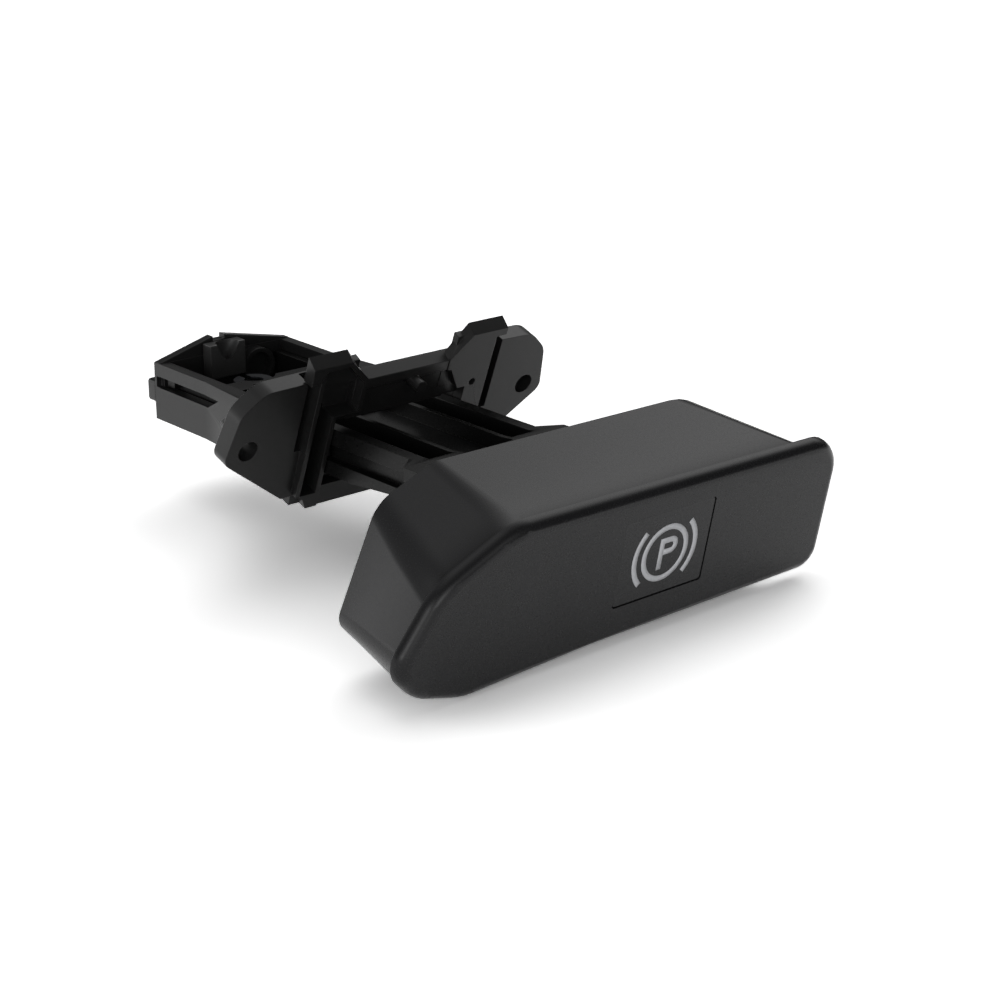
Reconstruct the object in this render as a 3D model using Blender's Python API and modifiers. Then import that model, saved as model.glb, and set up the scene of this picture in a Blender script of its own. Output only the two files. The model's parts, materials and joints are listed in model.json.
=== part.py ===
"""Parking brake release handle: a moulded pull handle whose stem slides in a moulded bracket.

Metres, +Z up. +X is to the right as the driver faces the handle and +Y points into the dashboard.
The origin lies midway between the two screw holes of the bracket, on the front plane of its ears.
"""
import math

import bmesh
import bpy
from mathutils import Matrix, Vector

# Clearances
GAP = 0.0003             # between pieces that touch or seat
SLIDE_GAP = 0.0004       # between the slider and its guide

# Pull travel, from rest to the end of the catch slots
PULL_TRAVEL = 0.0145

# Bracket: front plane, leaning towards the driver at the top
EAR_LEAN = math.radians(20.0)
EAR_THICKNESS = 0.0040
HOLE_SPACING = 0.0710
HOLE_RADIUS = 0.0022
EAR_TOP = 0.0133         # height of the ears over the hole line, along the leaning plane
EAR_BOTTOM = -0.0144
EAR_RIM = 0.0053         # from the middle of a screw hole to the ear's outermost point
SWEEP_END_Y = 0.0400     # where an ear's gusset has run into the guide box

PILLAR_PROUD = 0.0016    # pillars stand out of the ear plane by this
PILLAR_WIDTH = 0.0060
PILLAR_TOP = 0.0173      # the tab's top at the front
PILLAR_HEAD_WIDTH = 0.0060  # the head reaches inwards past the pillar by this
PILLAR_HEAD_BOTTOM = 0.0046
EAR_SLOT_WIDTH = 0.0016  # between a pillar and its ear
EAR_SLOT_DEPTH = 0.0036
RIGHT_SLOT_EXTRA = 0.0015  # the right slot is wider than the left one by this, into its ear
RIGHT_SLOT_TRIM = 0.0004 # and by this into its pillar
RIGHT_SLOT_TOP = 0.0156
PILLAR_DEPTH = 0.0075
PILLAR_HEAD_DEPTH = 0.0030
PILLAR_BACK_TOP = 0.0070 # the deep part of a pillar ends here
PILLAR_SKIN = 0.0011     # walls of the left pillar, whose front is open
POCKET_BOTTOM = -0.0136
POCKET_DEPTH = 0.0058
TAB_OVERHANG = 0.0022    # the tab reaches past the pillar's outer side by this
TAB_WIDTH = 0.0092
TAB_BOTTOM = 0.0134
TAB_BACK = 0.0010
TAB_SLOPE = 0.0015       # the tab's top rises by this towards its back
SIDE_TAB_FRONT = -0.0002
SIDE_TAB_THICKNESS = 0.0016
SIDE_TAB_HEIGHT = 0.0044 # above the bar's top
BAR_TOP = 0.0121
BAR_PROUD = 0.0014
BAR_SLOPE = 0.0009       # the bar's top rises by this towards its back
BAR_HEIGHT = 0.0022
BAR_WALL = 0.0014        # wall between the bar and the mouth
BAR_WALL_BOTTOM = 0.0020
FOOT_BOTTOM = -0.0172
PEG_X = 0.0019
PEG_HEIGHT = 0.0092
PEG_RADIUS = 0.0013
PEG_LENGTH = 0.0040

# Guide box
BOX_TOP_Z = 0.0009
BOX_FRONT_Y = 0.0052
BOX_HALF_WIDTH = 0.0173
BOX_WALL = 0.0025
FLOOR_THICKNESS = 0.0023
REAR_Y = 0.0612          # outer face of the rear wall
REAR_WALL = 0.0024
GABLE_RISE = 0.0038
CABLE_X = -0.0018        # the cable's notch lies a little left of the middle
NOTCH_HALF_WIDTH = 0.0015
NOTCH_DEPTH = 0.0010
FLARE_START_Y = 0.0420   # the side walls grow thicker from here to the front
FLARE_STEP = 0.0023      # how much thicker they are at the front
SHOULDER_Y = 0.0096      # inner step that stops the slider at rest
RING_X = 0.0074          # round seat on the inside of the rear wall
RING_Z = -0.0036
RING_RADIUS = 0.0042
RING_WALL = 0.0010
RING_DEPTH = 0.0022

# Slider
SHOULDER_STEP = 0.0016   # the stem is wider than the rails by this on each side
STEM_TOP_Z = 0.0008
STEM_HEIGHT = 0.0100
BEAM_INNER_X = 0.0062
TROUGH_WALL = 0.0012
TROUGH_DEPTH = 0.0066
TRACK_DEPTH = 0.0016     # groove along each outer side
TRACK_TOP = 0.0034       # below the stem's top
TRACK_HEIGHT = 0.0035
WEB_DROP = 0.0032
WEB_THICKNESS = 0.0030
WEB_END_Y = 0.0105
RAIL_DROP = 0.0022       # the rails inside the box are lower than the stem's top
ROOT_START_Y = -0.0252
ROOT_FULL_Y = -0.0288
ROOT_FLARE = 0.0045      # the root is wider than the stem by this on each side
ROOT_RISE = 0.0003
ROOT_DROP = 0.0004
UNDER_START_Y = -0.0050   # the stem's underside rises from here towards the head
UNDER_RISE = 0.0017
UNDER_END_Y = -0.0500    # inside the head
CROSS_WEB_Y = 0.0112
CROSS_WEB_THICKNESS = 0.0028
CROSS_BAR_SETBACK = 0.0212  # front of the cross bar, before the rear wall's outer face
CROSS_BAR_THICKNESS = 0.0036
CATCH_LENGTH = 0.0030
CATCH_HEIGHT = 0.0018
CATCH_RECESS = 0.0014    # the catches end this far inside the box's outer face
CATCH_Z = -0.0033        # middle height of the catch slots
SLOT_HEIGHT = 0.0025
SLOT_SLANT = 0.0046      # the slots' upper edge runs on to the front by this
ARM_THICKNESS = 0.0018

NIPPLE_BLOCK_RADIUS = 0.0046
CLIP_RADIUS = 0.0044
NIPPLE_DROP = 0.0022     # the nipple block's top, below the rails' top

# Return spring
SPRING_WIRE = 0.0008
SPRING_RADIUS = 0.0033   # to the middle of the wire
SPRING_TURNS = 8
SPIGOT_RADIUS = 0.0023
SPIGOT_LENGTH = 0.0036

# Rubber rest buffers
BUFFER_THICKNESS = 0.0012

# Head, in its own leaning frame: x across, z up the face, y into the dashboard
HEAD_LEAN = math.radians(11.0)
HEAD_Y = -0.0679
HEAD_Z = -0.0118
HEAD_DEPTH = 0.0215
LIP_DEPTH = 0.0030
LIP_STEP = 0.0006        # the lip stands out of the body by this
FACE_ROUND = 0.0024
SHELL_WALL = 0.0022
FACE_WALL = 0.0036
BODY_RIGHT_X = 0.0490    # the lip reaches past the body to the right
# Corners of the face outline: x, z and the radius of the round there
FACE_CORNERS = (
    (-0.0534, -0.0080, 0.0060),
    (-0.0466, -0.0150, 0.0100),
    (-0.0360, -0.0181, 0.0140),
    (-0.0060, -0.0166, 0.0600),
    (0.0568, -0.0160, 0.0050),
    (0.0568, 0.0136, 0.0080),
    (-0.0292, 0.0150, 0.0160),
    (-0.0448, 0.0070, 0.0140),
)
RIGHT_CORNERS = (4, 5)
BODY_RIGHT_ROUND = 0.0045
# How each body corner moves from the lip to the open back
BODY_DRAFT = (
    (0.0032, -0.0025),
    (0.0029, 0.0011),
    (-0.0001, 0.0015),
    (0.0000, 0.0007),
    (-0.0075, 0.0008),
    (-0.0075, 0.0048),
    (-0.0024, 0.0041),
    (0.0011, 0.0065),
)
BODY_BACK_ROUND = (0.0070, 0.0100, 0.0090, 0.0600, 0.0040, 0.0140, 0.0075, 0.0075)
HEAD_RIB_X = 0.0090
HEAD_RIB_THICKNESS = 0.0014
HEAD_RIB_TOP = 0.0132
HEAD_RIB_BOTTOM = -0.0145

# Symbol tile
TILE_X = 0.0096
TILE_WIDTH = 0.0228
TILE_HEIGHT = 0.0174
TILE_ROUND = 0.0006
TILE_THICKNESS = 0.0016

# Screws that hold the head
SCREW_OFFSET = 0.0057    # outside the root
SCREW_RADIUS = 0.0016
SCREW_HEAD_RADIUS = 0.0031
SCREW_HEAD_HEIGHT = 0.0020
SCREW_LENGTH = 0.0080
BOSS_RADIUS = 0.0036
PLATE_FRONT = 0.0125     # depth of the slider's root plate in the head
PLATE_THICKNESS = 0.0024
PLATE_RIM = 0.0048       # from a screw's middle to the plate's end
PLATE_TOP = 0.0132
PLATE_BOTTOM = -0.0095

ROUND_STEPS = 8          # segments of each rounded corner
EDGE_STEPS = 4           # segments of the face's rounded rim
SOFT_EDGE = 0.0003       # small moulded edge round

# Worked out from the above
STEM_BOTTOM_Z = STEM_TOP_Z - STEM_HEIGHT
FLOOR_TOP_Z = STEM_BOTTOM_Z - SLIDE_GAP
FLOOR_BOTTOM_Z = FLOOR_TOP_Z - FLOOR_THICKNESS
BOX_INNER_X = BOX_HALF_WIDTH - BOX_WALL
RAIL_HALF_WIDTH = BOX_INNER_X - SLIDE_GAP
RAIL_TOP_Z = STEM_TOP_Z - RAIL_DROP
STEM_HALF_WIDTH = RAIL_HALF_WIDTH + SHOULDER_STEP
MOUTH_HALF_WIDTH = STEM_HALF_WIDTH + SLIDE_GAP
ROOT_HALF_WIDTH = STEM_HALF_WIDTH + ROOT_FLARE
SCREW_X = ROOT_HALF_WIDTH + SCREW_OFFSET
PLATE_HALF_WIDTH = SCREW_X + PLATE_RIM
PILLAR_OUTER_X = MOUTH_HALF_WIDTH + PILLAR_WIDTH
PILLAR_HEAD_INNER_X = MOUTH_HALF_WIDTH - PILLAR_HEAD_WIDTH
TAB_OUTER_X = PILLAR_OUTER_X + TAB_OVERHANG
TAB_INNER_X = TAB_OUTER_X - TAB_WIDTH
EAR_INNER_X = PILLAR_OUTER_X + EAR_SLOT_WIDTH
FLARE_FRONT_X = BOX_HALF_WIDTH + FLARE_STEP
STEM_SHOULDER_Y = SHOULDER_Y - BUFFER_THICKNESS - 2.0 * GAP
REAR_INNER_Y = REAR_Y - REAR_WALL
CROSS_BAR_Y = REAR_Y - CROSS_BAR_SETBACK
CATCH_REAR_Y = REAR_INNER_Y - GAP
SLOT_FRONT_Y = CATCH_REAR_Y - CATCH_LENGTH - PULL_TRAVEL - GAP
SPRING_Z = FLOOR_TOP_Z + SPRING_RADIUS + SPRING_WIRE
SPRING_FRONT_Y = CROSS_WEB_Y + CROSS_WEB_THICKNESS + GAP
SPRING_REAR_Y = CROSS_BAR_Y - GAP
HOLE_X = HOLE_SPACING / 2.0
EAR_REACH = HOLE_X + EAR_RIM
NIPPLE_Y = CROSS_BAR_Y + CROSS_BAR_THICKNESS + 0.0024
NIPPLE_TOP_Z = RAIL_TOP_Z - NIPPLE_DROP

EAR_FRAME = Matrix.Rotation(EAR_LEAN, 4, "X")
HEAD_FRAME = Matrix.Translation((0.0, HEAD_Y, HEAD_Z)) @ Matrix.Rotation(HEAD_LEAN, 4, "X")


def make_collection(name):
    """Adds a collection to the scene."""
    made = bpy.data.collections.new(name)
    bpy.context.scene.collection.children.link(made)
    return made


def clear_scene():
    """Removes the objects, meshes and materials of the opened file."""
    for thing in list(bpy.data.objects):
        bpy.data.objects.remove(thing, do_unlink=True)
    for mesh in list(bpy.data.meshes):
        bpy.data.meshes.remove(mesh)


def make_material(name, colour, roughness, metallic=0.0):
    """A plain Principled material."""
    made = bpy.data.materials.new(name)
    made.use_nodes = True
    shader = made.node_tree.nodes["Principled BSDF"]
    shader.inputs["Base Color"].default_value = (*colour, 1.0)
    shader.inputs["Roughness"].default_value = roughness
    shader.inputs["Metallic"].default_value = metallic
    return made


def add_object(name, mesh, collection, material=None):
    """Links a mesh as an object."""
    made = bpy.data.objects.new(name, mesh)
    collection.objects.link(made)
    if material is not None:
        mesh.materials.append(material)
    return made


def finish_bmesh(shape, name):
    """Turns a bmesh into a mesh with its faces pointing out."""
    bmesh.ops.recalc_face_normals(shape, faces=shape.faces)
    mesh = bpy.data.meshes.new(name)
    shape.to_mesh(mesh)
    shape.free()
    return mesh


def box_mesh(name, low, high, edge=0.0):
    """A box between two corners, its edges rounded by edge."""
    shape = bmesh.new()
    bmesh.ops.create_cube(shape, size=1.0)
    size = [b - a for a, b in zip(low, high)]
    middle = [(a + b) / 2.0 for a, b in zip(low, high)]
    bmesh.ops.scale(shape, vec=size, verts=shape.verts)
    bmesh.ops.translate(shape, vec=middle, verts=shape.verts)
    if edge > 0.0:
        bmesh.ops.bevel(shape, geom=shape.edges[:], offset=edge, segments=2, profile=0.5, affect="EDGES")
    return finish_bmesh(shape, name)


def rod_mesh(name, start, end, radius, far_radius=None, sides=24):
    """A round bar or a cone between two points."""
    start = Vector(start)
    end = Vector(end)
    shape = bmesh.new()
    bmesh.ops.create_cone(
        shape,
        cap_ends=True,
        segments=sides,
        radius1=radius,
        radius2=radius if far_radius is None else far_radius,
        depth=(end - start).length,
    )
    turn = (end - start).to_track_quat("Z", "Y").to_matrix().to_4x4()
    place = Matrix.Translation((start + end) / 2.0) @ turn
    bmesh.ops.transform(shape, matrix=place, verts=shape.verts)
    return finish_bmesh(shape, name)


def corner_arc(before, corner, after, radius, steps):
    """Points of the round that replaces a corner, steps + 1 of them."""
    point = Vector(corner)
    back = (Vector(before) - point)
    ahead = (Vector(after) - point)
    reach = min(back.length, ahead.length) * 0.49
    back.normalize()
    ahead.normalize()
    half_angle = back.angle(ahead) / 2.0
    tangent = min(radius / math.tan(half_angle), reach)
    radius = tangent * math.tan(half_angle)
    middle = point + (back + ahead).normalized() * (radius / math.sin(half_angle))
    first = point + back * tangent - middle
    last = point + ahead * tangent - middle
    sweep = first.angle_signed(last)
    points = []
    for step in range(steps + 1):
        angle = -sweep * step / steps
        turned = Vector((
            first.x * math.cos(angle) - first.y * math.sin(angle),
            first.x * math.sin(angle) + first.y * math.cos(angle),
        ))
        points.append(middle + turned)
    return points


def rounded_outline(corners, steps=ROUND_STEPS):
    """Points of a closed outline from corners of x, z and radius."""
    points = []
    count = len(corners)
    for index, (x, z, radius) in enumerate(corners):
        before = corners[index - 1][:2]
        after = corners[(index + 1) % count][:2]
        if radius <= 0.0:
            points.append(Vector((x, z)))
        else:
            points.extend(corner_arc(before, (x, z), after, radius, steps))
    return points


def inset_corners(corners, distance):
    """Moves each side of a counter-clockwise outline inwards by distance."""
    moved = []
    count = len(corners)
    for index, (x, z, radius) in enumerate(corners):
        here = Vector((x, z))
        before = Vector(corners[index - 1][:2])
        after = Vector(corners[(index + 1) % count][:2])
        first = (here - before).normalized()
        second = (after - here).normalized()
        first_in = Vector((-first.y, first.x))
        second_in = Vector((-second.y, second.x))
        middle = (first_in + second_in).normalized()
        reach = distance / middle.dot(first_in)
        spot = here + middle * reach
        moved.append((spot.x, spot.y, max(radius - distance, radius * 0.25)))
    return moved


def blend_corners(first, second, share):
    """Corners that lie a share of the way from the first outline to the second."""
    return [tuple(a + (b - a) * share for a, b in zip(one, two)) for one, two in zip(first, second)]


def loft_mesh(name, rings):
    """Joins rings of equal point counts, and closes both ends."""
    shape = bmesh.new()
    rows = [[shape.verts.new(point) for point in ring] for ring in rings]
    count = len(rows[0])
    for near, far in zip(rows, rows[1:]):
        for index in range(count):
            following = (index + 1) % count
            shape.faces.new((near[index], near[following], far[following], far[index]))
    shape.faces.new(rows[0])
    shape.faces.new(rows[-1])
    return finish_bmesh(shape, name)


def prism_mesh(name, outline, low, high, axis):
    """A flat outline given a thickness from low to high along an axis.

    For axis Y the outline's points are x and z, for Z they are x and y, and for X they are y and z.
    """
    data = bpy.data.curves.new(name + "_outline", "CURVE")
    data.dimensions = "2D"
    data.fill_mode = "BOTH"
    data.extrude = (high - low) / 2.0
    spline = data.splines.new("POLY")
    spline.points.add(len(outline) - 1)
    for spot, point in zip(spline.points, outline):
        spot.co = (point[0], point[1], 0.0, 1.0)
    spline.use_cyclic_u = True
    carrier = bpy.data.objects.new(name + "_outline", data)
    bpy.context.scene.collection.objects.link(carrier)
    bpy.context.view_layer.update()
    evaluated = carrier.evaluated_get(bpy.context.evaluated_depsgraph_get())
    mesh = bpy.data.meshes.new_from_object(evaluated)
    bpy.data.objects.remove(carrier, do_unlink=True)
    bpy.data.curves.remove(data)
    shape = bmesh.new()
    shape.from_mesh(mesh)
    bpy.data.meshes.remove(mesh)
    bmesh.ops.remove_doubles(shape, verts=shape.verts, dist=0.00001)
    middle = (low + high) / 2.0
    columns = {
        "X": Matrix(((0, 0, 1, middle), (1, 0, 0, 0), (0, 1, 0, 0), (0, 0, 0, 1))),
        "Y": Matrix(((1, 0, 0, 0), (0, 0, 1, middle), (0, 1, 0, 0), (0, 0, 0, 1))),
        "Z": Matrix(((1, 0, 0, 0), (0, 1, 0, 0), (0, 0, 1, middle), (0, 0, 0, 1))),
    }
    bmesh.ops.transform(shape, matrix=columns[axis], verts=shape.verts)
    return finish_bmesh(shape, name)


def mirrored_mesh(mesh):
    """A copy of a mesh on the other side of the middle plane."""
    shape = bmesh.new()
    shape.from_mesh(mesh)
    bmesh.ops.scale(shape, vec=(-1.0, 1.0, 1.0), verts=shape.verts)
    return finish_bmesh(shape, mesh.name + "_mirrored")


class Builder:
    """Adds solids to a piece, or cuts them from it, with live Boolean modifiers."""

    def __init__(self, piece, tools):
        self.piece = piece
        self.tools = tools

    def apply_tool(self, mesh, operation, frame=None):
        tool = add_object(f"{self.piece.name}.{operation.lower()}.{mesh.name}", mesh, self.tools)
        if frame is not None:
            tool.matrix_world = frame
        tool.hide_render = True
        tool.display_type = "WIRE"
        step = self.piece.modifiers.new(mesh.name, "BOOLEAN")
        step.operation = operation
        step.solver = "EXACT"
        step.object = tool

    def join(self, mesh, frame=None):
        self.apply_tool(mesh, "UNION", frame)

    def cut(self, mesh, frame=None):
        self.apply_tool(mesh, "DIFFERENCE", frame)

    def join_pair(self, mesh, frame=None):
        self.join(mesh, frame)
        self.join(mirrored_mesh(mesh), frame)

    def cut_pair(self, mesh, frame=None):
        self.cut(mesh, frame)
        self.cut(mirrored_mesh(mesh), frame)


def guide_box_mesh():
    """The outer block of the guide box: straight at the rear, thicker towards the front."""
    right = [
        (BOX_HALF_WIDTH, REAR_Y),
        (BOX_HALF_WIDTH, FLARE_START_Y),
        (FLARE_FRONT_X, SHOULDER_Y + PILLAR_DEPTH),
        (PILLAR_OUTER_X - 0.0002, BOX_FRONT_Y),
    ]
    left = [(-x, y) for x, y in reversed(right)]
    return prism_mesh("guide_box", right[::-1] + left[::-1], FLOOR_BOTTOM_Z, BOX_TOP_Z, "Z")


def ear_mesh():
    """The right ear: a leaning plate whose outer edge sweeps back into the side of the guide box."""
    corners = (
        (EAR_INNER_X - 0.0030, EAR_BOTTOM, 0.0004),
        (EAR_INNER_X + 0.0008, EAR_BOTTOM, 0.0010),
        (EAR_REACH, -0.0019, 0.0026),
        (EAR_REACH - 0.0020, 0.0085, 0.0050),
        (EAR_REACH - 0.0068, EAR_TOP - 0.0003, 0.0055),
        (EAR_INNER_X - 0.0030, EAR_TOP, 0.0004),
    )
    outline = rounded_outline(corners, 5)
    front = [EAR_FRAME @ Vector((p.x, 0.0, p.y)) for p in outline]
    back = [EAR_FRAME @ Vector((p.x, EAR_THICKNESS, p.y)) for p in outline]
    rings = [front, back]
    height = EAR_TOP - EAR_BOTTOM
    sweep_steps = 7
    for step in range(1, sweep_steps + 1):
        share = step / sweep_steps
        pull_in = share + 0.10 * math.sin(math.pi * share)
        ring = []
        for spot, flat in zip(back, outline):
            level = (flat.y - EAR_BOTTOM) / height
            across = (flat.x - EAR_INNER_X) / (EAR_REACH - EAR_INNER_X)
            end = Vector((
                BOX_HALF_WIDTH - 0.0010 + 0.0006 * across,
                SWEEP_END_Y - 0.0120 * level ** 2 - 0.0020 * (1.0 - across),
                FLOOR_BOTTOM_Z + 0.0001 + (BOX_TOP_Z - 0.0014 - FLOOR_BOTTOM_Z) * level,
            ))
            ring.append(Vector((
                spot.x + (end.x - spot.x) * pull_in,
                spot.y + (end.y - spot.y) * share,
                spot.z + (end.z - spot.z) * pull_in,
            )))
        rings.append(ring)
    return loft_mesh("ear", rings)


def pillar_mesh():
    """The right front pillar with its wide head and the tab on top, its top sloping up to the back."""
    outline = [
        (MOUTH_HALF_WIDTH, FOOT_BOTTOM),
        (PILLAR_OUTER_X - 0.0032, FOOT_BOTTOM),
        (PILLAR_OUTER_X - 0.0020, EAR_BOTTOM - 0.0004),
        (PILLAR_OUTER_X, EAR_BOTTOM + 0.0008),
        (PILLAR_OUTER_X, TAB_BOTTOM),
        (TAB_OUTER_X, TAB_BOTTOM),
        (TAB_OUTER_X, PILLAR_TOP),
        (TAB_INNER_X, PILLAR_TOP),
        (PILLAR_HEAD_INNER_X, BAR_TOP + 0.0003),
        (PILLAR_HEAD_INNER_X, PILLAR_HEAD_BOTTOM),
        (MOUTH_HALF_WIDTH, PILLAR_HEAD_BOTTOM),
    ]
    mesh = prism_mesh("pillar", outline, -PILLAR_PROUD, TAB_BACK, "Y")
    for vert in mesh.vertices:
        if vert.co.z > PILLAR_TOP - 0.0001 and vert.co.y > 0.0:
            vert.co.z += TAB_SLOPE
    return mesh


def pillar_back_mesh():
    """The thick rear part of the right pillar, which joins it to the guide box."""
    low = (MOUTH_HALF_WIDTH + 0.0001, 0.0002, FOOT_BOTTOM + 0.0004)
    high = (PILLAR_OUTER_X - 0.0002, PILLAR_DEPTH, PILLAR_BACK_TOP)
    return box_mesh("pillar_back", low, high)


def pillar_head_mesh():
    """The rear part of the right pillar's head: a flat block behind its front."""
    outline = [
        (PILLAR_HEAD_INNER_X + 0.0001, PILLAR_HEAD_BOTTOM + 0.0001),
        (PILLAR_OUTER_X - 0.0001, PILLAR_HEAD_BOTTOM + 0.0001),
        (PILLAR_OUTER_X - 0.0001, TAB_BOTTOM + 0.0002),
        (MOUTH_HALF_WIDTH + 0.0006, TAB_BOTTOM + 0.0002),
        (PILLAR_HEAD_INNER_X + 0.0026, BAR_TOP - 0.0010),
        (PILLAR_HEAD_INNER_X + 0.0001, BAR_TOP - 0.0010),
    ]
    return prism_mesh("pillar_head", outline, 0.0003, PILLAR_HEAD_DEPTH, "Y")


def leg_pocket_mesh():
    """The deep pocket in the open front of the left pillar."""
    low = (-PILLAR_OUTER_X + PILLAR_SKIN, -0.0100, POCKET_BOTTOM)
    high = (-MOUTH_HALF_WIDTH - PILLAR_SKIN, POCKET_DEPTH, PILLAR_BACK_TOP - PILLAR_SKIN)
    return box_mesh("leg_pocket", low, high)


def head_pocket_mesh():
    """The shallower pocket in the head of the left pillar."""
    inner = PILLAR_HEAD_INNER_X + PILLAR_SKIN
    outer = PILLAR_OUTER_X - PILLAR_SKIN - 0.0001
    outline = [
        (-inner, PILLAR_HEAD_BOTTOM + PILLAR_SKIN),
        (-inner, BAR_TOP - 0.0002),
        (-TAB_INNER_X - 0.0003, PILLAR_TOP - PILLAR_SKIN),
        (-outer, PILLAR_TOP - PILLAR_SKIN),
        (-outer, PILLAR_HEAD_BOTTOM + PILLAR_SKIN),
    ]
    return prism_mesh("head_pocket", outline, -0.0090, TAB_BACK - 0.0004, "Y")


def head_pocket_back_mesh():
    """The pocket in the left pillar's head goes deeper below its tab."""
    low = (-PILLAR_OUTER_X + PILLAR_SKIN + 0.0002, -0.0080, PILLAR_BACK_TOP - PILLAR_SKIN - 0.0010)
    high = (-PILLAR_HEAD_INNER_X - PILLAR_SKIN - 0.0002, PILLAR_HEAD_DEPTH - 0.0009, BAR_TOP - 0.0012)
    return box_mesh("head_pocket_back", low, high)


def side_tab_mesh():
    """The small tab beside the right pillar's head."""
    back = SIDE_TAB_FRONT + SIDE_TAB_THICKNESS
    profile = [
        (SIDE_TAB_FRONT, BAR_TOP - 0.0040),
        (back, BAR_TOP - 0.0040),
        (back, BAR_TOP + SIDE_TAB_HEIGHT + 0.0003),
        (SIDE_TAB_FRONT, BAR_TOP + SIDE_TAB_HEIGHT),
    ]
    return prism_mesh("side_tab", profile, PILLAR_HEAD_INNER_X + 0.0021, TAB_INNER_X + 0.0004, "X")


def bar_mesh():
    """The cross bar and the wall below it, over the mouth of the guide."""
    wall_front = 0.0002
    profile = [
        (-BAR_PROUD, BAR_TOP - BAR_HEIGHT),
        (wall_front, BAR_TOP - BAR_HEIGHT - 0.0010),
        (wall_front, BAR_WALL_BOTTOM),
        (wall_front + BAR_WALL, BAR_WALL_BOTTOM),
        (wall_front + BAR_WALL, BAR_TOP + BAR_SLOPE),
        (-BAR_PROUD, BAR_TOP),
    ]
    reach = PILLAR_HEAD_INNER_X + 0.0020
    return prism_mesh("bar", profile, -reach, reach, "X")


def bar_wall_mesh():
    """The wall's wide lower part, between the pillars."""
    half = MOUTH_HALF_WIDTH + 0.0010
    low = (-half, 0.0004, BAR_WALL_BOTTOM + 0.0002)
    high = (half, BAR_WALL, PILLAR_HEAD_BOTTOM + 0.0010)
    return box_mesh("bar_wall", low, high)


def sill_mesh():
    """The sill below the mouth."""
    half = MOUTH_HALF_WIDTH + 0.0020
    low = (-half, -PILLAR_PROUD + 0.0002, FOOT_BOTTOM + 0.0002)
    high = (half, PILLAR_DEPTH - 0.0005, EAR_BOTTOM + 0.0022)
    return box_mesh("sill", low, high)


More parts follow.
